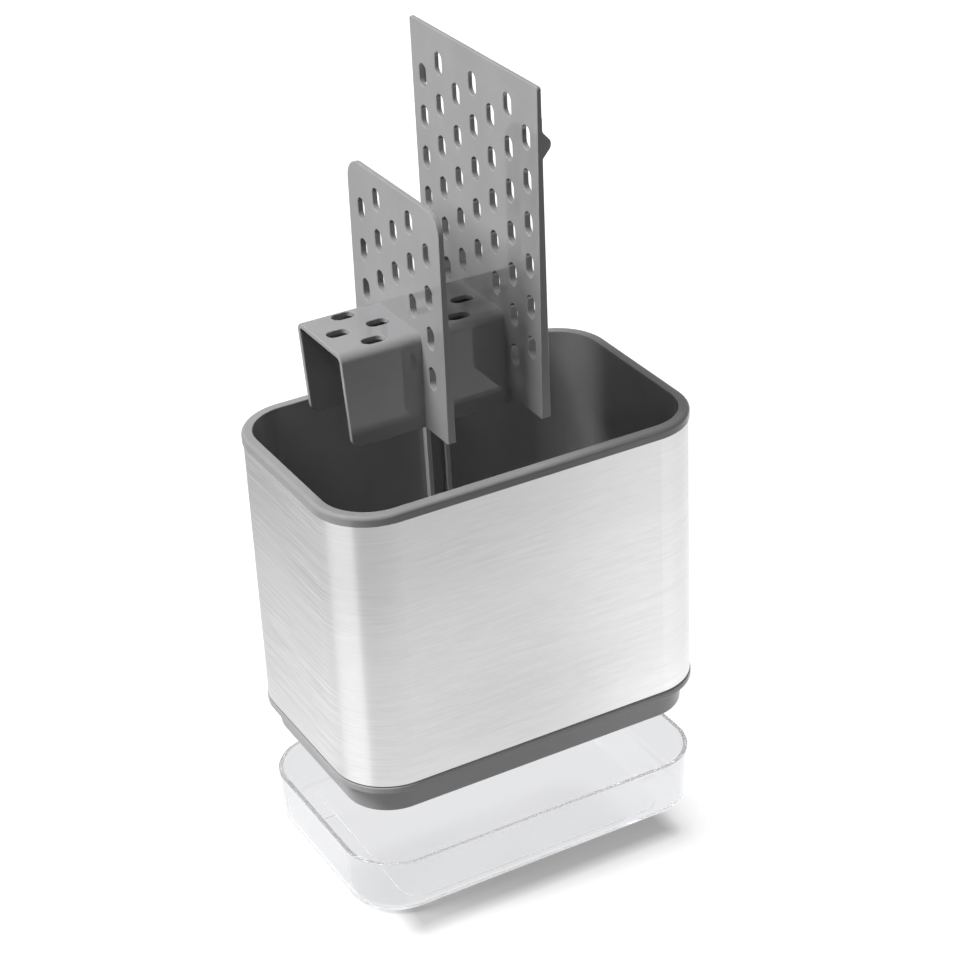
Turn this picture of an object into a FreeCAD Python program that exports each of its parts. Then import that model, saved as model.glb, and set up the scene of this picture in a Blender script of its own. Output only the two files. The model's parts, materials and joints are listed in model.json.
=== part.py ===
import FreeCAD, Part
import math
import os
from FreeCAD import Vector

# A sink caddy, in millimetres: +Z is up, the long side runs along X, the front faces -Y.
# The origin is under the middle of the drip tray, on the surface that the tray stands on.

# Steel sleeve
sleeve_length = 170.0
sleeve_width = 109.8
sleeve_corner_radius = 24.8
sleeve_height = 123.7
sleeve_thickness = 0.6
sleeve_play = 0.15

# Tub liner with its rolled rim
rim_height = 4.5
rim_overhang = 0.6
rim_inset = 4.2
rim_outer_round = 1.7
rim_inner_round = 0.4
rim_edge_round = 0.4
rim_root_depth = 3.0
tub_wall = 2.0
wall_draft = 1.2

# Guide ribs inside the long walls
rib_thickness = 2.0
rib_projection = 3.2
rib_gap = 6.8
rib_top_drop = 18.0
rib_lead_in = 3.0

# Base ring: a lip under the sleeve and a skirt that drops into the tray
lip_height = 3.2
lip_overhang = 0.4
lip_round = 0.7
skirt_recess = 3.6
skirt_drop = 11.8
skirt_draft = 4.5
skirt_wall = 2.2
skirt_foot_round = 0.8
plug_height = 4.0
plug_play = 0.1
ledge_reach = 3.2
ledge_thickness = 2.2

# Drain floor
floor_thickness = 2.4
floor_margin = 6.0

# Slots, staggered in columns on the divider and on the drain floor
slot_width = 5.8
slot_length = 9.6
slot_flare = 0.25
column_pitch = 13.7
row_pitch = 17.6
slot_foot_margin = 19.0
slot_bridge_margin = 2.0

# Divider: a tall plate in the guide ribs, a short plate beside it and a channel that joins them
divider_offset = 11.3
edge_clearance = 0.6
guide_clearance = 0.5
plate_edge_round = 0.35
tall_plate_rise = 4.6
tall_plate_height = 139.5
tall_plate_top = 1.8
tall_plate_foot = 4.1
tall_plate_corner = 1.2
tall_plate_first_row = 13.6
short_plate_height = 97.1
short_plate_width = 76.4
short_plate_top = 2.2
short_plate_foot = 3.6
short_plate_corner = 9.0
short_plate_first_row = 10.6
plate_spacing = 37.8
bump_projection = 3.5
bump_length = 10.8
bump_crest = 2.6
bump_round = 2.4
bump_blend = 2.0
bump_width = 5.5
bump_drop = 23.4

# Channel of the divider, an upturned U
channel_width = 39.2
channel_height = 41.3
channel_wall = 2.2
channel_round = 4.0
channel_end_round = 4.0
channel_edge_round = 0.5
channel_column_pitch = 13.0
shelf_end_gap = 14.7
shelf_end_lean = 2.4

# Drip tray
tray_height = 26.5
tray_inset = 1.1
tray_wall = 2.0
tray_floor = 2.2
tray_draft = 2.0
tray_foot_round = 4.5
tray_rim_round = 0.7
tray_panel_length = 127.0
tray_panel_width = 94.0
tray_panel_rise = 0.3
tray_panel_round = 9.0
tray_panel_edge = 0.2
tray_rib_length = 8.0
tray_rib_width = 3.2
tray_rib_offset = 25.5

# Rest position: the caddy is held above its tray and the divider above the tub
seat_clearance = 0.3
caddy_raise = 37.0
divider_raise = 139.7

# Heights that follow from the sizes above
wall_slope = math.tan(math.radians(wall_draft))
sleeve_foot = tray_height + seat_clearance + lip_height + caddy_raise
sleeve_top = sleeve_foot + sleeve_height
rim_top = sleeve_top + rim_height
tub_floor = sleeve_foot
divider_foot = tub_floor + seat_clearance + divider_raise
channel_top = divider_foot + channel_height

# Insets of the tub's wall from the sleeve's outer face
tub_foot_inset = rim_inset + (rim_top - tub_floor) * wall_slope
tub_outer_inset = tub_foot_inset - tub_wall

# The tall plate's middle plane, and half widths of the plates at their feet
tall_plate_x = divider_offset
short_plate_x = tall_plate_x - plate_spacing
tall_plate_low = divider_foot + tall_plate_rise
tall_plate_half = sleeve_width / 2 - tub_foot_inset - edge_clearance + tall_plate_rise * wall_slope
short_plate_half = short_plate_width / 2
far_rib_x = tall_plate_x + tall_plate_foot / 2 + guide_clearance
near_rib_x = far_rib_x - rib_gap - rib_thickness
shelf_end_x = -(sleeve_length / 2 - tub_foot_inset) + shelf_end_gap


# Closed wire through corners given as (point, radius); a radius of 0 keeps the corner sharp.
def rounded_wire(corners):
    starts = []
    ends = []
    middles = []
    for index, (point, radius) in enumerate(corners):
        before = (corners[index - 1][0] - point).normalize()
        after = (corners[(index + 1) % len(corners)][0] - point).normalize()
        half_angle = before.getAngle(after) / 2
        setback = radius / math.tan(half_angle)
        inward = (before + after).normalize()
        starts.append(point + before * setback)
        ends.append(point + after * setback)
        middles.append(point + inward * (radius / math.sin(half_angle) - radius))
    edges = []
    for index, (point, radius) in enumerate(corners):
        if radius > 0:
            edges.append(Part.Arc(starts[index], middles[index], ends[index]).toShape())
        follower = starts[(index + 1) % len(corners)]
        edges.append(Part.LineSegment(ends[index], follower).toShape())
    return Part.Wire(edges)


# The sleeve's rounded rectangle, moved in by an inset, at one height.
def outline(inset, height):
    half_x = sleeve_length / 2 - inset
    half_y = sleeve_width / 2 - inset
    radius = sleeve_corner_radius - inset
    signs = ((-1, -1), (1, -1), (1, 1), (-1, 1))
    return rounded_wire([(Vector(half_x * x, half_y * y, height), radius) for x, y in signs])


# Sweeps a section, given as (inset, height, radius), all the way round the sleeve's outline.
def swept_ring(section):
    start_x = -(sleeve_length / 2 - sleeve_corner_radius)
    front = -sleeve_width / 2
    corners = [(Vector(start_x, front + inset, height), radius) for inset, height, radius in section]
    path = outline(0, sleeve_foot)
    lines = [edge for edge in path.Edges if edge.Curve.TypeId == "Part::GeomLine"]
    first = min(lines, key=lambda edge: (edge.CenterOfMass.y, edge.CenterOfMass.x))
    order = path.OrderedEdges
    place = [edge.isSame(first) for edge in order].index(True)
    spine = Part.Wire(order[place:] + order[:place])
    return spine.makePipeShell([rounded_wire(corners)], True, False)


def loft_between(low, high):
    return Part.makeLoft([low, high], True, True)


# Edges whose whole length lies at one height.
def edges_at(solid, height):
    flat = []
    for edge in solid.Edges:
        box = edge.BoundBox
        if abs(box.ZMin - height) < 0.001 and abs(box.ZMax - height) < 0.001:
            flat.append(edge)
    return flat


# Closed outline of a slot about a centre, grown by a margin; its length runs along one axis.
def slot_outline(centre, along, through, margin):
    across = along.cross(through)
    radius = slot_width / 2 + margin
    straight = (slot_length - slot_width) / 2
    low = centre - along * straight
    high = centre + along * straight
    edges = [
        Part.LineSegment(low + across * radius, high + across * radius).toShape(),
        Part.Arc(high + across * radius, high + along * radius, high - across * radius).toShape(),
        Part.LineSegment(high - across * radius, low - across * radius).toShape(),
        Part.Arc(low - across * radius, low - along * radius, low + across * radius).toShape(),
    ]
    return Part.Wire(edges)


# Cutter for a slot through a wall, about the middle of the wall, with flared mouths at both faces.
def slot_cutter(centre, along, through, wall):
    start = centre - through * (2 * wall)
    cutter = Part.Face(slot_outline(start, along, through, 0)).extrude(through * (4 * wall))
    mouths = []
    for side in (-1, 1):
        inner = centre + through * side * (wall / 2 - slot_flare)
        outer = centre + through * side * (wall / 2 + slot_flare)
        narrow = slot_outline(inner, along, through, 0)
        wide = slot_outline(outer, along, through, 2 * slot_flare)
        mouths.append(loft_between(narrow, wide))
    return cutter.fuse(mouths)


def steel_sleeve():
    outer = Part.Face(outline(0, sleeve_foot))
    inner = Part.Face(outline(sleeve_thickness, sleeve_foot))
    return outer.cut(inner).extrude(Vector(0, 0, sleeve_height))


# One upright guide rib on a long wall; side is -1 at the front and 1 at the back.
def guide_rib(side, start_x):
    wall_foot = sleeve_width / 2 - tub_foot_inset
    top = rim_top - rib_top_drop
    wall_top = wall_foot + (top - tub_floor) * wall_slope
    into_wall = tub_wall / 2
    points = [
        (wall_foot + into_wall, tub_floor),
        (wall_foot - rib_projection, tub_floor),
        (wall_top - rib_projection - rib_lead_in * wall_slope, top - rib_lead_in),
        (wall_top, top),
        (wall_top + into_wall, top),
    ]
    corners = [(Vector(start_x, side * y, z), 0) for y, z in points]
    return Part.Face(rounded_wire(corners)).extrude(Vector(rib_thickness, 0, 0))


def tub_liner():
    root = sleeve_top - rim_root_depth
    root_inset = tub_outer_inset - (root - tub_floor) * wall_slope
    seat_inset = sleeve_thickness + sleeve_play
    section = [
        (-rim_overhang, sleeve_top, rim_edge_round),
        (-rim_overhang, rim_top, rim_outer_round),
        (rim_inset, rim_top, rim_inner_round),
        (tub_foot_inset, tub_floor, 0),
        (tub_outer_inset, tub_floor, 0),
        (root_inset, root, 0),
        (seat_inset, root, 0),
        (seat_inset, sleeve_top, 0),
    ]
    tub = swept_ring(section)
    ribs = [guide_rib(side, x) for side in (-1, 1) for x in (near_rib_x, far_rib_x)]
    return tub.fuse(ribs).removeSplitter()


def base_ring():
    lip_foot = sleeve_foot - lip_height
    skirt_foot = lip_foot - skirt_drop
    skirt_lean = skirt_drop * math.tan(math.radians(skirt_draft))
    floor_foot = tub_floor - floor_thickness
    ledge_foot = floor_foot - ledge_thickness
    plug_top = sleeve_foot + plug_height
    plug_inset = tub_outer_inset - plug_height * wall_slope - plug_play
    ledge_inset = tub_outer_inset + ledge_reach
    skirt_inside = skirt_recess + skirt_wall
    inside_lean = (lip_foot - ledge_foot) / skirt_drop * skirt_lean
    section = [
        (-lip_overhang, sleeve_foot, lip_round),
        (-lip_overhang, lip_foot, lip_round),
        (skirt_recess, lip_foot, 0),
        (skirt_recess + skirt_lean, skirt_foot, skirt_foot_round),
        (skirt_inside + skirt_lean, skirt_foot, skirt_foot_round),
        (skirt_inside + inside_lean, ledge_foot, 0),
        (ledge_inset, ledge_foot, 0),
        (ledge_inset, floor_foot, 0),
        (plug_inset, floor_foot, 0),
        (plug_inset, plug_top, 0),
        (sleeve_thickness + sleeve_play, plug_top, 0),
        (sleeve_thickness + sleeve_play, sleeve_foot, 0),
    ]
    return swept_ring(section)


# Drain slots fill the floor inside the tub's wall, every other column half a pitch along.
def drain_floor():
    low = tub_floor - floor_thickness
    plate = Part.Face(outline(tub_outer_inset, low)).extrude(Vector(0, 0, floor_thickness))
    reach_x = sleeve_length / 2 - tub_foot_inset - floor_margin - slot_length / 2
    reach_y = sleeve_width / 2 - tub_foot_inset - floor_margin - slot_width / 2
    columns = int(reach_y / column_pitch)
    cutters = []
    for column in range(-columns, columns + 1):
        shift = row_pitch / 2 if column % 2 else 0
        rows = int((reach_x + shift) / row_pitch)
        for row in range(-rows, rows + 1):
            x = row * row_pitch + shift
            corner_x = abs(x) - (reach_x - sleeve_corner_radius / 2)
            corner_y = abs(column) * column_pitch - (reach_y - sleeve_corner_radius / 2)
            outside = math.hypot(max(corner_x, 0), max(corner_y, 0)) > sleeve_corner_radius / 2
            if abs(x) > reach_x or outside:
                continue
            centre = Vector(x, column * column_pitch, tub_floor - floor_thickness / 2)
            cutters.append(slot_cutter(centre, Vector(1, 0, 0), Vector(0, 0, 1), floor_thickness))
    return plate.cut(cutters)


# Upright plate across the tub, thicker at its foot, with rounded edges.
def bare_plate(middle_x, foot, height, halves, thick, corner):
    top = foot + height
    depth = sleeve_width
    top_thick, foot_thick = thick
    sides = [
        (Vector(middle_x - foot_thick / 2, -depth, foot), 0),
        (Vector(middle_x + foot_thick / 2, -depth, foot), 0),
        (Vector(middle_x + top_thick / 2, -depth, top), 0),
        (Vector(middle_x - top_thick / 2, -depth, top), 0),
    ]
    slab = Part.Face(rounded_wire(sides)).extrude(Vector(0, 2 * depth, 0))
    blank = slab.common(plate_blank(middle_x, foot, height, halves, corner))
    faces = [edge for edge in blank.Edges if edge.BoundBox.XLength < foot_thick / 2]
    return blank.makeFillet(plate_edge_round, faces)


# Block with the outline of a plate, as deep as the plates are far apart.
def plate_blank(middle_x, foot, height, halves, corner):
    top = foot + height
    foot_half, top_half = halves
    start = middle_x - plate_spacing / 2
    foot_corner = 2 * plate_edge_round
    corners = [
        (Vector(start, -foot_half, foot), foot_corner),
        (Vector(start, foot_half, foot), foot_corner),
        (Vector(start, top_half, top), corner),
        (Vector(start, -top_half, top), corner),
    ]
    return Part.Face(rounded_wire(corners)).extrude(Vector(plate_spacing, 0, 0))


# Staggered slots of a plate: even_first says whether the even columns start half a row above the odd.
def plate_slots(middle_x, foot, height, half, thick, first_row, even_first):
    columns = int((half - slot_width / 2) / column_pitch)
    top_thick, foot_thick = thick
    cutters = []
    for column in range(-columns, columns + 1):
        late = (column % 2 == 0) != even_first
        y = column * column_pitch
        z = foot + height - first_row - (row_pitch / 2 if late else 0)
        over_bridge = abs(y) < (channel_width + slot_width) / 2 + slot_bridge_margin
        lowest = foot + slot_foot_margin
        if over_bridge:
            lowest = channel_top + slot_length / 2 + slot_bridge_margin
        while z >= lowest:
            centre = Vector(middle_x, y, z)
            wall = foot_thick + (top_thick - foot_thick) * (z - foot) / height
            cutters.append(slot_cutter(centre, Vector(0, 0, 1), Vector(1, 0, 0), wall))
            z -= row_pitch
    return cutters


# Half widths of the tall plate at its foot and top: its edges follow the wall's draft.
def tall_plate_halves():
    return (tall_plate_half, tall_plate_half + tall_plate_height * wall_slope)


# Rounded bump on the far face of the tall plate, at one of its upright edges.
def edge_bump(side):
    drop_share = bump_drop / tall_plate_height
    thickness = tall_plate_top + (tall_plate_foot - tall_plate_top) * drop_share
    height = tall_plate_low + tall_plate_height - bump_drop
    root = tall_plate_x + thickness / 2 - plate_edge_round / 4
    crest = tall_plate_x + thickness / 2 + bump_projection
    half = bump_length / 2
    section = [
        (tall_plate_x, height + bump_length, 0),
        (root, height + bump_length, 0),
        (root, height + half, bump_blend),
        (crest, height + bump_crest / 2, bump_round),
        (crest, height - bump_crest / 2, bump_round),
        (root, height - half, bump_blend),
        (root, height - bump_length, 0),
        (tall_plate_x, height - bump_length, 0),
    ]
    edge = tall_plate_halves()[1]
    corners = [(Vector(x, side * (edge - bump_width), z), radius) for x, z, radius in section]
    bump = Part.Face(rounded_wire(corners)).extrude(Vector(0, side * bump_width, 0))
    sizes = (tall_plate_low, tall_plate_height, tall_plate_halves(), tall_plate_corner)
    return bump.common(plate_blank(tall_plate_x, *sizes))


def tall_plate():
    place = (tall_plate_x, tall_plate_low, tall_plate_height)
    thick = (tall_plate_top, tall_plate_foot)
    plate = bare_plate(*place, tall_plate_halves(), thick, tall_plate_corner)
    slots = plate_slots(*place, tall_plate_half, thick, tall_plate_first_row, True)
    bumps = [edge_bump(-1), edge_bump(1)]
    return plate.fuse(bumps).cut(slots).removeSplitter()


def short_plate():
    place = (short_plate_x, divider_foot, short_plate_height)
    halves = (short_plate_half, short_plate_half)
    thick = (short_plate_top, short_plate_foot)
    plate = bare_plate(*place, halves, thick, short_plate_corner)
    slots = plate_slots(*place, short_plate_half, thick, short_plate_first_row, False)
    return plate.cut(slots).removeSplitter()


# Upturned U between two places along X, with staggered slots in its top.
def channel_span(start_x, end_x):
    half = channel_width / 2
    inner_half = half - channel_wall
    inner_top = channel_top - channel_wall
    inner_round = channel_round - channel_wall
    section = [
        (-half, divider_foot, 0),
        (-half, channel_top, channel_round),
        (half, channel_top, channel_round),
        (half, divider_foot, 0),
        (inner_half, divider_foot, 0),
        (inner_half, inner_top, inner_round),
        (-inner_half, inner_top, inner_round),
        (-inner_half, divider_foot, 0),
    ]
    corners = [(Vector(start_x, y, z), radius) for y, z, radius in section]
    return Part.Face(rounded_wire(corners)).extrude(Vector(end_x - start_x, 0, 0))


# Slots in the top of a span: the middle column holds one more than the outer two.
def channel_slots(start_x, end_x):
    middle = (start_x + end_x) / 2
    rows = int((end_x - start_x - slot_length) / row_pitch) + 1
    outer = (channel_width - slot_width) / 2 - channel_wall
    columns = int(outer / channel_column_pitch)
    cutters = []
    for column in range(-columns, columns + 1):
        count = rows - 1 if column % 2 else rows
        for row in range(count):
            x = middle + (row - (count - 1) / 2) * row_pitch
            centre = Vector(x, column * channel_column_pitch, channel_top - channel_wall / 2)
            cutters.append(slot_cutter(centre, Vector(1, 0, 0), Vector(0, 0, 1), channel_wall))
    return cutters


# Long edges along the feet of a channel's walls.
def wall_feet(channel):
    return [edge for edge in edges_at(channel, divider_foot) if edge.BoundBox.XLength > 0.001]


# Edges round the shelf's free end, without the seams that cross its wall.
def free_end_edges(channel):
    found = []
    for edge in channel.Edges:
        box = edge.BoundBox
        crosses = box.XLength + box.ZLength < 0.001 and box.YLength < channel_wall + 0.001
        if box.XMax < shelf_end_x + shelf_end_lean + channel_end_round and not crosses:
            found.append(edge)
    return found


def bridge_channel(plates):
    start = short_plate_x + short_plate_foot / 2
    end = tall_plate_x - tall_plate_foot / 2
    span = channel_span(short_plate_x, tall_plate_x)
    span = span.makeFillet(channel_edge_round, wall_feet(span))
    return span.cut(channel_slots(start, end) + plates).removeSplitter()


# The free end leans in towards its foot, where its corners are rounded off.
def shelf_channel(plates):
    end = short_plate_x - short_plate_foot / 2
    side = [
        (Vector(shelf_end_x + shelf_end_lean, -channel_width, divider_foot), channel_end_round),
        (Vector(shelf_end_x, -channel_width, channel_top), 0),
        (Vector(short_plate_x, -channel_width, channel_top), 0),
        (Vector(short_plate_x, -channel_width, divider_foot), 0),
    ]
    profile = Part.Face(rounded_wire(side)).extrude(Vector(0, 2 * channel_width, 0))
    span = channel_span(shelf_end_x, short_plate_x).common(profile)
    span = span.makeFillet(channel_edge_round, wall_feet(span) + free_end_edges(span))
    return span.cut(channel_slots(shelf_end_x, end) + plates).removeSplitter()


# Short rib on the tray's floor that runs from the raised panel towards an end wall.
def tray_rib(side):
    length = side * tray_rib_length
    start = Vector(side * tray_panel_length / 2, side * -tray_rib_offset - tray_rib_width / 2, tray_floor / 2)
    corners = [
        (start, 0),
        (start + Vector(length, 0, 0), 0),
        (start + Vector(length, tray_rib_width, 0), 0),
        (start + Vector(0, tray_rib_width, 0), 0),
    ]
    return Part.Face(rounded_wire(corners)).extrude(Vector(0, 0, tray_floor / 2 + tray_panel_rise))


def drip_tray():
    slope = math.tan(math.radians(tray_draft))
    foot_inset = tray_inset + tray_height * slope
    outer = loft_between(outline(foot_inset, 0), outline(tray_inset, tray_height))
    outer = outer.makeFillet(tray_foot_round, edges_at(outer, 0))
    inner_foot = foot_inset + tray_wall - tray_floor * slope
    inner = loft_between(outline(inner_foot, tray_floor), outline(tray_inset + tray_wall, tray_height))
    inner = inner.makeFillet(tray_foot_round - tray_floor, edges_at(inner, tray_floor))
    tray = outer.cut(inner)
    tray = tray.makeFillet(tray_rim_round, edges_at(tray, tray_height))
    half_x = tray_panel_length / 2
    half_y = tray_panel_width / 2
    signs = ((-1, -1), (1, -1), (1, 1), (-1, 1))
    panel_low = tray_floor / 2
    corners = [(Vector(half_x * x, half_y * y, panel_low), tray_panel_round) for x, y in signs]
    panel = Part.Face(rounded_wire(corners)).extrude(Vector(0, 0, panel_low + tray_panel_rise))
    panel = panel.makeFillet(tray_panel_edge, edges_at(panel, tray_floor + tray_panel_rise))
    return tray.fuse([panel, tray_rib(-1), tray_rib(1)]).removeSplitter()


def main():
    plates = [tall_plate(), short_plate()]
    nodes = {
        "drip_tray": drip_tray(),
        "base_ring": base_ring(),
        "drain_floor": drain_floor(),
        "tub_liner": tub_liner(),
        "steel_sleeve": steel_sleeve(),
        "tall_plate": plates[0],
        "short_plate": plates[1],
        "bridge_channel": bridge_channel(plates),
        "shelf_channel": shelf_channel(plates),
    }
    os.makedirs("parts", exist_ok=True)
    for name, shape in nodes.items():
        print(name, "solids", len(shape.Solids), "valid", shape.isValid(), "volume", round(shape.Volume, 1))
        shape.exportStep("parts/" + name + ".step")


main()
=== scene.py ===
import json
import math
import bpy
from mathutils import Matrix, Vector

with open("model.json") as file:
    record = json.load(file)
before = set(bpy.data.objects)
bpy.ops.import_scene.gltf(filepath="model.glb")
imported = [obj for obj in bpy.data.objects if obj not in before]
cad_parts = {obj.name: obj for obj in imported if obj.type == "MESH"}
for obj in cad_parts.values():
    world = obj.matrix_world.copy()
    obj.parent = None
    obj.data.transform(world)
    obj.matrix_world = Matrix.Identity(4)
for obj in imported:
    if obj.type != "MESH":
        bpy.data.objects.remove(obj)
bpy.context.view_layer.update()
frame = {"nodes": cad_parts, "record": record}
bpy.ops.object.select_all(action="DESELECT")
scene = bpy.context.scene
scene.view_settings.view_transform = "Standard"
print("frame loaded:", ", ".join(sorted(frame["nodes"])))

# noise mostly lies between these two
noiseLow = 0.3
noiseHigh = 0.7
white = (1, 1, 1, 1)


def newMaterial(name):
    material = bpy.data.materials.new(name)
    material.use_nodes = True
    nodes = material.node_tree.nodes
    shader = nodes["Principled BSDF"]
    place = nodes.new("ShaderNodeTexCoord")
    return material, nodes, material.node_tree.links, shader, place.outputs["Object"]


# noise on object coordinates, in metres, so scale is features per metre along each axis
def noiseOn(nodes, links, coords, scale, detail):
    mapping = nodes.new("ShaderNodeMapping")
    mapping.inputs["Scale"].default_value = scale
    noise = nodes.new("ShaderNodeTexNoise")
    noise.inputs["Scale"].default_value = 1.0
    noise.inputs["Detail"].default_value = detail
    links.new(coords, mapping.inputs["Vector"])
    links.new(mapping.outputs["Vector"], noise.inputs["Vector"])
    return noise.outputs["Fac"]


# spreads a factor between two values
def spread(nodes, links, factor, low, high, fromLow=noiseLow, fromHigh=noiseHigh):
    rangeNode = nodes.new("ShaderNodeMapRange")
    rangeNode.inputs["From Min"].default_value = fromLow
    rangeNode.inputs["From Max"].default_value = fromHigh
    rangeNode.inputs["To Min"].default_value = low
    rangeNode.inputs["To Max"].default_value = high
    links.new(factor, rangeNode.inputs["Value"])
    return rangeNode.outputs["Result"]


# the same between two colours
def ramp(nodes, links, factor, low, high, start=noiseLow, end=noiseHigh):
    node = nodes.new("ShaderNodeValToRGB")
    first, last = node.color_ramp.elements
    first.position, last.position = start, end
    first.color = (*low, 1)
    last.color = (*high, 1)
    links.new(factor, node.inputs["Fac"])
    return node.outputs["Color"]


def bumpFrom(nodes, links, height, distance, strength):
    node = nodes.new("ShaderNodeBump")
    node.inputs["Distance"].default_value = distance
    node.inputs["Strength"].default_value = strength
    links.new(height, node.inputs["Height"])
    return node.outputs["Normal"]


def mathNode(nodes, links, kind, first, second):
    node = nodes.new("ShaderNodeMath")
    node.operation = kind
    links.new(first, node.inputs[0])
    links.new(second, node.inputs[1])
    return node.outputs[0]


# 1 where a value lies between two ends, else 0
def within(nodes, links, value, low, high):
    node = nodes.new("ShaderNodeMath")
    node.operation = "COMPARE"
    node.inputs[1].default_value = (low + high) / 2
    node.inputs[2].default_value = (high - low) / 2
    links.new(value, node.inputs[0])
    return node.outputs[0]


def splitAxes(nodes, links, coords):
    split = nodes.new("ShaderNodeSeparateXYZ")
    links.new(coords, split.inputs[0])
    return split.outputs


def mixColours(nodes, links, factor, first):
    node = nodes.new("ShaderNodeMix")
    node.data_type = "RGBA"
    links.new(factor, node.inputs["Factor"])
    links.new(first, node.inputs["A"])
    return node


# 1 on the guide ribs of the tub, 0 elsewhere: where the ribs' painted light goes
def ribMask(nodes, links, coords, ribs):
    axes = splitAxes(nodes, links, coords)
    first, second = [within(nodes, links, axes["X"], *span) for span in ribs["spans"]]
    upright = within(nodes, links, axes["Z"], *ribs["levels"])
    return mathNode(nodes, links, "MULTIPLY", mathNode(nodes, links, "MAXIMUM", first, second), upright)


# moulded plastic, glossy or satin: faint mottle in the colour, fine grain in the surface
def mouldedPlastic(name, look):
    material, nodes, links, shader, coords = newMaterial(name)
    mottle = noiseOn(nodes, links, coords, [look["mottleScale"]] * 3, look["mottleDetail"])
    grain = noiseOn(nodes, links, coords, [look["grainScale"]] * 3, look["grainDetail"])
    colour = ramp(nodes, links, mottle, look["dark"], look["light"])
    # painted light: ribs in a look get a paler tone that stands in for light falling on them
    if "ribs" in look:
        ribsPaintedLight = mixColours(nodes, links, ribMask(nodes, links, coords, look["ribs"]), colour)
        links.new(ramp(nodes, links, mottle, *look["ribs"]["tones"]), ribsPaintedLight.inputs["B"])
        colour = ribsPaintedLight.outputs["Result"]
    links.new(colour, shader.inputs["Base Color"])
    links.new(spread(nodes, links, mottle, *look["roughness"]), shader.inputs["Roughness"])
    bump = bumpFrom(nodes, links, grain, look["grainDepth"], look["grainStrength"])
    links.new(bump, shader.inputs["Normal"])
    shader.inputs["IOR"].default_value = look["ior"]
    return material


# what the moulded pieces share
mouldedLook = {
    "mottleScale": 40.0,
    "mottleDetail": 4.0,
    "grainScale": 2400.0,
    "grainDetail": 2.0,
    "grainStrength": 0.35,
    "ior": 1.75,
}
dividerLook = {
    **mouldedLook,
    "dark": (0.27, 0.27, 0.275),
    "light": (0.3, 0.3, 0.305),
    "mottleScale": 45.0,
    "grainScale": 2600.0,
    "grainDepth": 0.000002,
    "roughness": (0.04, 0.07),
}
linerLook = {
    **mouldedLook,
    "dark": (0.27, 0.27, 0.275),
    "light": (0.3, 0.3, 0.305),
    "grainDepth": 0.000004,
    "roughness": (0.12, 0.17),
    "ribs": {  # painted light: the guide ribs get a paler tone, as if lit: along X, up Z, and their two tones
        "spans": ((0.00503, 0.00707), (0.01383, 0.01587)),
        "levels": (0.05, 0.1775),
        "tones": ((0.5, 0.5, 0.5), (0.58, 0.58, 0.58)),
    },
}
ringLook = {
    **mouldedLook,
    "dark": (0.38, 0.38, 0.385),
    "light": (0.42, 0.42, 0.425),
    "grainDepth": 0.000006,
    "roughness": (0.3, 0.38),
}

steelLook = {
    "dark": (0.57, 0.57, 0.57),
    "light": (0.86, 0.86, 0.86),
    "layers": {
        # long fine brush lines round the sleeve
        "hairline": {"scale": (7.0, 7.0, 2600.0), "detail": 3.0, "tones": (-0.08, 0.08)},
        # shorter, broader marks
        "streak": {"scale": (26.0, 26.0, 1500.0), "detail": 2.0, "tones": (-0.68, 0.68)},
        # short faint dashes, all round
        "dash": {"scale": (85.0, 85.0, 850.0), "detail": 1.0, "tones": (-0.11, 0.11)},
        # marks and dashes come in patches
        "patch": {"scale": (14.0, 14.0, 40.0), "detail": 1.0, "tones": (0.3, 1.7)},
        # slow change over the sheet
        "cloud": {"scale": (6.0, 6.0, 16.0), "detail": 2.0, "tones": (-0.3, 0.3)},
    },
    "streakSide": (-0.0849, -0.083),  # the marks fade where the left corner starts
    "streakFront": 0.12,  # what is left of them past there
    "roughness": (0.33, 0.39),
    "lineDepth": 0.000014,
    "lineStrength": 0.4,
    "anisotropy": 0.88,
    "brushTurn": 0.25,  # a quarter turn: across the brush lines
    "footShade": (0.066, 0.06755),  # painted shadow: a thin dark line at the foot, where the sleeve sits on the lip
    "footShadeTone": (0.1, 0.1, 0.1, 1),
}


# brushed steel: the brush runs level round the sleeve, so light spreads up and down
def brushedSteel(name, look):
    material, nodes, links, shader, coords = newMaterial(name)
    axes = splitAxes(nodes, links, coords)
    noises = {}
    tones = {}
    for layerName, layer in look["layers"].items():
        noises[layerName] = noiseOn(nodes, links, coords, layer["scale"], layer["detail"])
        tones[layerName] = spread(nodes, links, noises[layerName], *layer["tones"])
    side = spread(nodes, links, axes["X"], 1.0, look["streakFront"], *look["streakSide"])
    streaks = mathNode(nodes, links, "MULTIPLY", tones["streak"], side)
    longAndShort = mathNode(nodes, links, "ADD", streaks, tones["dash"])
    marks = mathNode(nodes, links, "MULTIPLY", longAndShort, tones["patch"])
    lines = mathNode(nodes, links, "ADD", tones["hairline"], marks)
    allTones = mathNode(nodes, links, "ADD", lines, tones["cloud"])
    tone = spread(nodes, links, allTones, 0.0, 1.0, -1.0, 1.0)
    sheet = ramp(nodes, links, tone, look["dark"], look["light"], 0.0, 1.0)
    # painted shadow: a thin dark band at the sleeve's foot
    footShade = mixColours(nodes, links, within(nodes, links, axes["Z"], *look["footShade"]), sheet)
    footShade.inputs["B"].default_value = look["footShadeTone"]
    links.new(footShade.outputs["Result"], shader.inputs["Base Color"])
    links.new(spread(nodes, links, noises["streak"], *look["roughness"]), shader.inputs["Roughness"])
    bump = bumpFrom(nodes, links, lines, look["lineDepth"], look["lineStrength"])
    links.new(bump, shader.inputs["Normal"])
    along = nodes.new("ShaderNodeTangent")
    along.direction_type = "RADIAL"
    along.axis = "Z"
    links.new(along.outputs["Tangent"], shader.inputs["Tangent"])
    shader.inputs["Metallic"].default_value = 1.0
    shader.inputs["Anisotropic"].default_value = look["anisotropy"]
    shader.inputs["Anisotropic Rotation"].default_value = look["brushTurn"]
    return material


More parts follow.
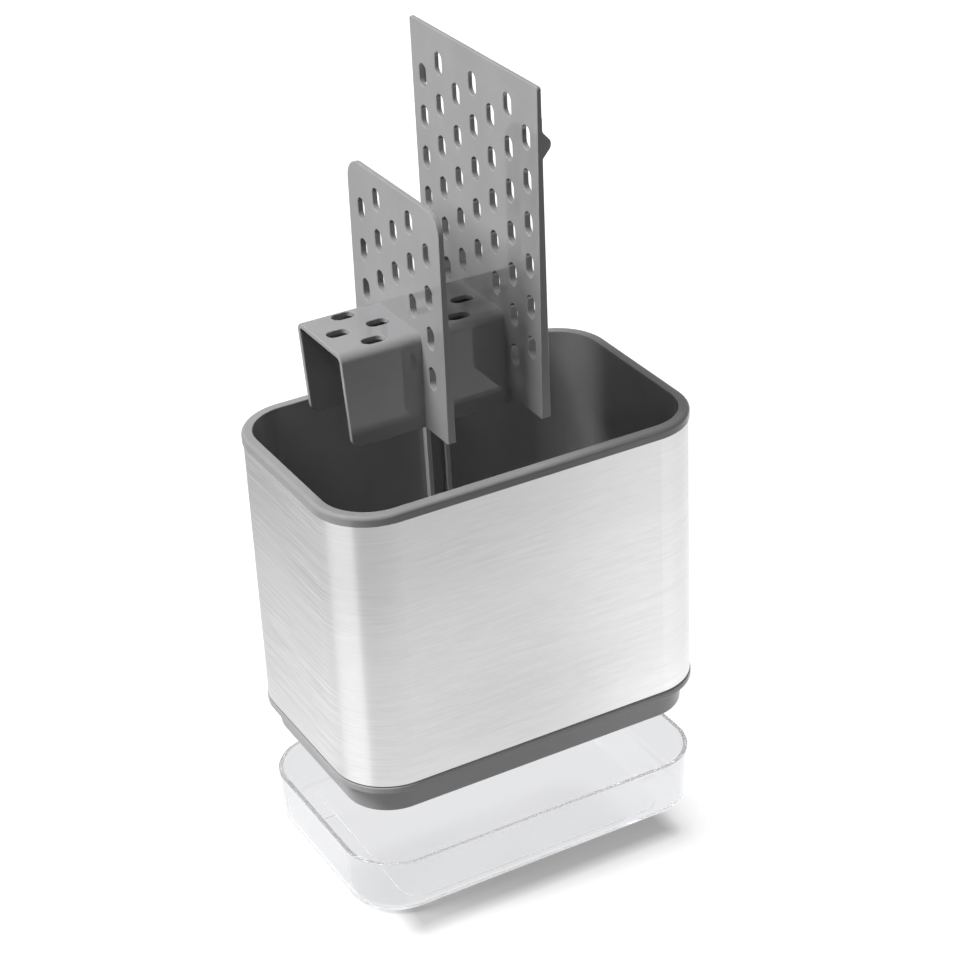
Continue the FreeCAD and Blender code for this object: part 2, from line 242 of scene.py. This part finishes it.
trayLook = {
    "dark": (0.955, 0.96, 0.962),
    "light": (0.985, 0.988, 0.99),
    "flowScale": 18.0,
    "flowDetail": 1.0,
    "flowDepth": 0.0002,
    "flowStrength": 0.25,
    "roughness": (0.08, 0.13),
    "ior": 1.49,
    "clear": 1.0,
}


# clear moulded plastic: slight flow waves and a faint change of gloss
def clearPlastic(name, look):
    material, nodes, links, shader, coords = newMaterial(name)
    flow = noiseOn(nodes, links, coords, [look["flowScale"]] * 3, look["flowDetail"])
    links.new(ramp(nodes, links, flow, look["dark"], look["light"]), shader.inputs["Base Color"])
    links.new(spread(nodes, links, flow, *look["roughness"]), shader.inputs["Roughness"])
    bump = bumpFrom(nodes, links, flow, look["flowDepth"], look["flowStrength"])
    links.new(bump, shader.inputs["Normal"])
    shader.inputs["IOR"].default_value = look["ior"]
    shader.inputs["Transmission Weight"].default_value = look["clear"]
    return material


finishes = {
    "divider_plastic": mouldedPlastic("dividerPlastic", dividerLook),
    "liner_plastic": mouldedPlastic("linerPlastic", linerLook),
    "grey_plastic": mouldedPlastic("ringPlastic", ringLook),
    "brushed_steel": brushedSteel("brushedSteel", steelLook),
    "clear_plastic": clearPlastic("clearTrayPlastic", trayLook),
}
for part in frame["record"]["subparts"]:
    node = frame["nodes"][part["node"]]
    node.data.materials.clear()
    node.data.materials.append(finishes[part["material_slot"]])


# white shop floor: its own glow is set apart for the camera, for reflections and through the tray; near
# the part the camera's glow is lowered, a painted shadow
floorLook = {
    "size": 14.0,
    "cuts": 6,
    "drop": 0.0004,  # just under the tray's foot
    "colour": (0.28, 0.28, 0.28, 1),
    "roughness": 0.9,
    "shaded": ((0.06, 0.046), (-0.004, -0.015)),  # half sizes and middle of the painted shadow's core on the ground under the part
    "reach": 0.04,  # how far from there the painted shadow fades to plain white
    # share of reach, and the glow that the camera sees there: low near the part, a painted shadow
    "glow": ((0.0, 0.28), (0.1, 0.44), (0.2, 0.66), (0.35, 0.8), (0.6, 0.92), (1.0, 1.0)),
    "glowGloss": (1.06, 0.39),  # what reflections see of it, near and far; brighter near, a painted reflection that lightens the sleeve's lower part
    "glossReach": (0.06, 0.42),
    # brighter and dimmer parts for reflections, each between two soft straight edges: painted
    # highlights and a painted dim band on the steel sleeve
    "glossParts": {
        "rightSide": {
            "gain": 0.5,
            "inner": {"across": (0.866, 0.5, 0), "between": (-0.022, 0.024)},
            "outer": {"across": (1, 0, 0), "between": (-0.03, 0.03)},
        },
        "leftWedge": {
            "gain": 0.36,
            "inner": {"across": (-0.44, -0.9, 0), "between": (0.063, 0.078)},
            "outer": {"across": (-0.485, 0.875, 0), "between": (-0.01, 0.008)},
        },
        "dimPart": {
            "gain": -0.25,
            "inner": {"across": (-0.86, -0.5, 0), "between": (0.24, 0.4)},
            "outer": {"across": (0.485, -0.875, 0), "between": (-0.008, 0.03)},
        },
    },
    "glowThrough": (0.83, 0.83, 0.845, 1),  # what is seen of it through the tray
}


# 0 on one side of a soft straight edge on the floor, gain on the other
def past(nodes, links, coords, edge, gain):
    across = nodes.new("ShaderNodeVectorMath")
    across.operation = "DOT_PRODUCT"
    across.inputs[1].default_value = edge["across"]
    links.new(coords, across.inputs[0])
    return spread(nodes, links, across.outputs["Value"], 0.0, gain, *edge["between"])


# distance on the floor from the painted shadow's core
def awayFrom(nodes, links, coords, shaded):
    (halfX, halfY), (middleX, middleY) = shaded
    mapping = nodes.new("ShaderNodeMapping")
    mapping.inputs["Location"].default_value = (-middleX, -middleY, 0)
    mapping.inputs["Scale"].default_value = (1, 1, 0)
    links.new(coords, mapping.inputs["Vector"])
    place = mapping.outputs["Vector"]
    for kind, other in (("ABSOLUTE", None), ("SUBTRACT", (halfX, halfY, 0)), ("MAXIMUM", (0, 0, 0))):
        step = nodes.new("ShaderNodeVectorMath")
        step.operation = kind
        if other is not None:
            step.inputs[1].default_value = other
        links.new(place, step.inputs[0])
        place = step.outputs["Vector"]
    away = nodes.new("ShaderNodeVectorMath")
    away.operation = "LENGTH"
    links.new(place, away.inputs[0])
    return away.outputs["Value"]


def floorPlane(look):
    bpy.ops.mesh.primitive_plane_add(size=look["size"], location=(0, 0, 0))
    floor = bpy.context.object
    floor.name = "shopFloor"
    bpy.ops.object.mode_set(mode="EDIT")
    bpy.ops.mesh.select_all(action="SELECT")
    bpy.ops.mesh.subdivide(number_cuts=look["cuts"])
    bpy.ops.transform.translate(value=(0, 0, -look["drop"]))
    bpy.ops.object.mode_set(mode="OBJECT")
    return floor


def whiteFloor(look):
    floor = floorPlane(look)
    material, nodes, links, shader, coords = newMaterial("whiteFloor")
    shader.inputs["Base Color"].default_value = look["colour"]
    shader.inputs["Roughness"].default_value = look["roughness"]
    shader.inputs["Specular IOR Level"].default_value = 0.0
    shader.inputs["Emission Color"].default_value = white
    away = awayFrom(nodes, links, coords, look["shaded"])
    share = spread(nodes, links, away, 0.0, 1.0, 0.0, look["reach"])
    # painted shadow: the camera sees less glow near the part
    paintedShadowGlow = nodes.new("ShaderNodeValToRGB")
    while len(paintedShadowGlow.color_ramp.elements) < len(look["glow"]):
        paintedShadowGlow.color_ramp.elements.new(0.5)
    for element, (position, strength) in zip(paintedShadowGlow.color_ramp.elements, look["glow"]):
        element.position = position
        element.color = (strength, strength, strength, 1)
    links.new(share, paintedShadowGlow.inputs["Fac"])
    ray = nodes.new("ShaderNodeLightPath")
    direct = mathNode(nodes, links, "MULTIPLY", ray.outputs["Is Camera Ray"], paintedShadowGlow.outputs["Color"])
    # painted reflections: glow that only glossy rays see, which puts highlights and a dim band on the
    # steel sleeve
    paintedReflectionGlow = spread(nodes, links, away, *look["glowGloss"], *look["glossReach"])
    for part in look["glossParts"].values():
        inner = past(nodes, links, coords, part["inner"], part["gain"])
        outer = past(nodes, links, coords, part["outer"], 1.0)
        paintedReflectionGlow = mathNode(nodes, links, "ADD", paintedReflectionGlow, mathNode(nodes, links, "MULTIPLY", inner, outer))
    gloss = mathNode(nodes, links, "MULTIPLY", ray.outputs["Is Glossy Ray"], paintedReflectionGlow)
    links.new(mathNode(nodes, links, "MAXIMUM", direct, gloss), shader.inputs["Emission Strength"])
    through = nodes.new("ShaderNodeEmission")
    through.inputs["Color"].default_value = look["glowThrough"]
    choose = nodes.new("ShaderNodeMixShader")
    links.new(ray.outputs["Is Transmission Ray"], choose.inputs["Fac"])
    links.new(shader.outputs["BSDF"], choose.inputs[1])
    links.new(through.outputs["Emission"], choose.inputs[2])
    links.new(choose.outputs["Shader"], nodes["Material Output"].inputs["Surface"])
    floor.data.materials.append(material)
    floor.visible_diffuse = False  # no bounce: lamps and room alone light the part


whiteFloor(floorLook)
print("floor laid")


# white room: plain light on the part, white to the camera and through the tray, dimmer to gloss
roomLight = 0.045
roomGloss = 0.5  # share of the white that reflections see
world = bpy.data.worlds.new("whiteRoom")
scene.world = world
world.use_nodes = True
worldNodes = world.node_tree.nodes
worldLinks = world.node_tree.links
backdrop = worldNodes["Background"]
backdrop.inputs["Color"].default_value = white
rayKind = worldNodes.new("ShaderNodeLightPath").outputs
seenAny = spread(worldNodes, worldLinks, rayKind["Is Glossy Ray"], 0.0, roomGloss, 0.0, 1.0)
for kindName in ("Is Camera Ray", "Is Transmission Ray"):
    seenAny = mathNode(worldNodes, worldLinks, "MAXIMUM", seenAny, rayKind[kindName])
roomStrength = spread(worldNodes, worldLinks, seenAny, roomLight, 1.0, 0.0, 1.0)
worldLinks.new(roomStrength, backdrop.inputs["Strength"])


# soft lamps: place and aim in metres, power in watts; gloss sees the floor and room, not the lamps
lampList = {
    "leftLamp": {
        "place": (-0.63, 0.1, 0.97), "aim": (0.0, 0.0, 0.2), "size": (0.42, 0.5), "power": 15.0,
    },
    "backLamp": {
        "place": (1.0, 0.65, 0.3), "aim": (0.0, 0.0, 0.15), "size": (1.2, 0.6), "power": 7.0,
    },
    "frontFill": {
        "place": (-0.2, -1.2, 0.95), "aim": (0.0, 0.0, 0.15), "size": (1.0, 1.0), "power": 1.8,
    },
}


# turn that looks from one place to another
def facing(place, aim):
    return (Vector(aim) - Vector(place)).to_track_quat("-Z", "Y")


for lampName, lamp in lampList.items():
    light = bpy.data.lights.new(lampName, "AREA")
    light.shape = "RECTANGLE"
    light.size, light.size_y = lamp["size"]
    light.energy = lamp["power"]
    lampObject = bpy.data.objects.new(lampName, light)
    scene.collection.objects.link(lampObject)
    lampObject.location = lamp["place"]
    lampObject.rotation_mode = "QUATERNION"
    lampObject.rotation_quaternion = facing(lamp["place"], lamp["aim"])
    lampObject.visible_glossy = False
print("lamps set:", ", ".join(lampList))


photoCamera = {
    "place": (-0.43515, -0.82966, 0.68767),
    "aim": (0.01724, 0.01831, 0.14831),
    "roll": -2.8176,
    "lens": 95.149,
    "sensor": 36.0,
    "clip": (0.01, 50.0),
}
cameraData = bpy.data.cameras.new("photoCamera")
cameraData.lens = photoCamera["lens"]
cameraData.sensor_width = photoCamera["sensor"]
cameraData.clip_start, cameraData.clip_end = photoCamera["clip"]
cameraObject = bpy.data.objects.new("photoCamera", cameraData)
scene.collection.objects.link(cameraObject)
turn = facing(photoCamera["place"], photoCamera["aim"]).to_matrix().to_4x4()
tilt = Matrix.Rotation(math.radians(photoCamera["roll"]), 4, "Z")
cameraObject.matrix_world = Matrix.Translation(photoCamera["place"]) @ turn @ tilt
scene.camera = cameraObject
bounceLimit = 80  # light runs far inside the tray's walls
scene.cycles.max_bounces = bounceLimit
scene.cycles.transmission_bounces = bounceLimit
scene.cycles.glossy_bounces = bounceLimit
print("camera placed")
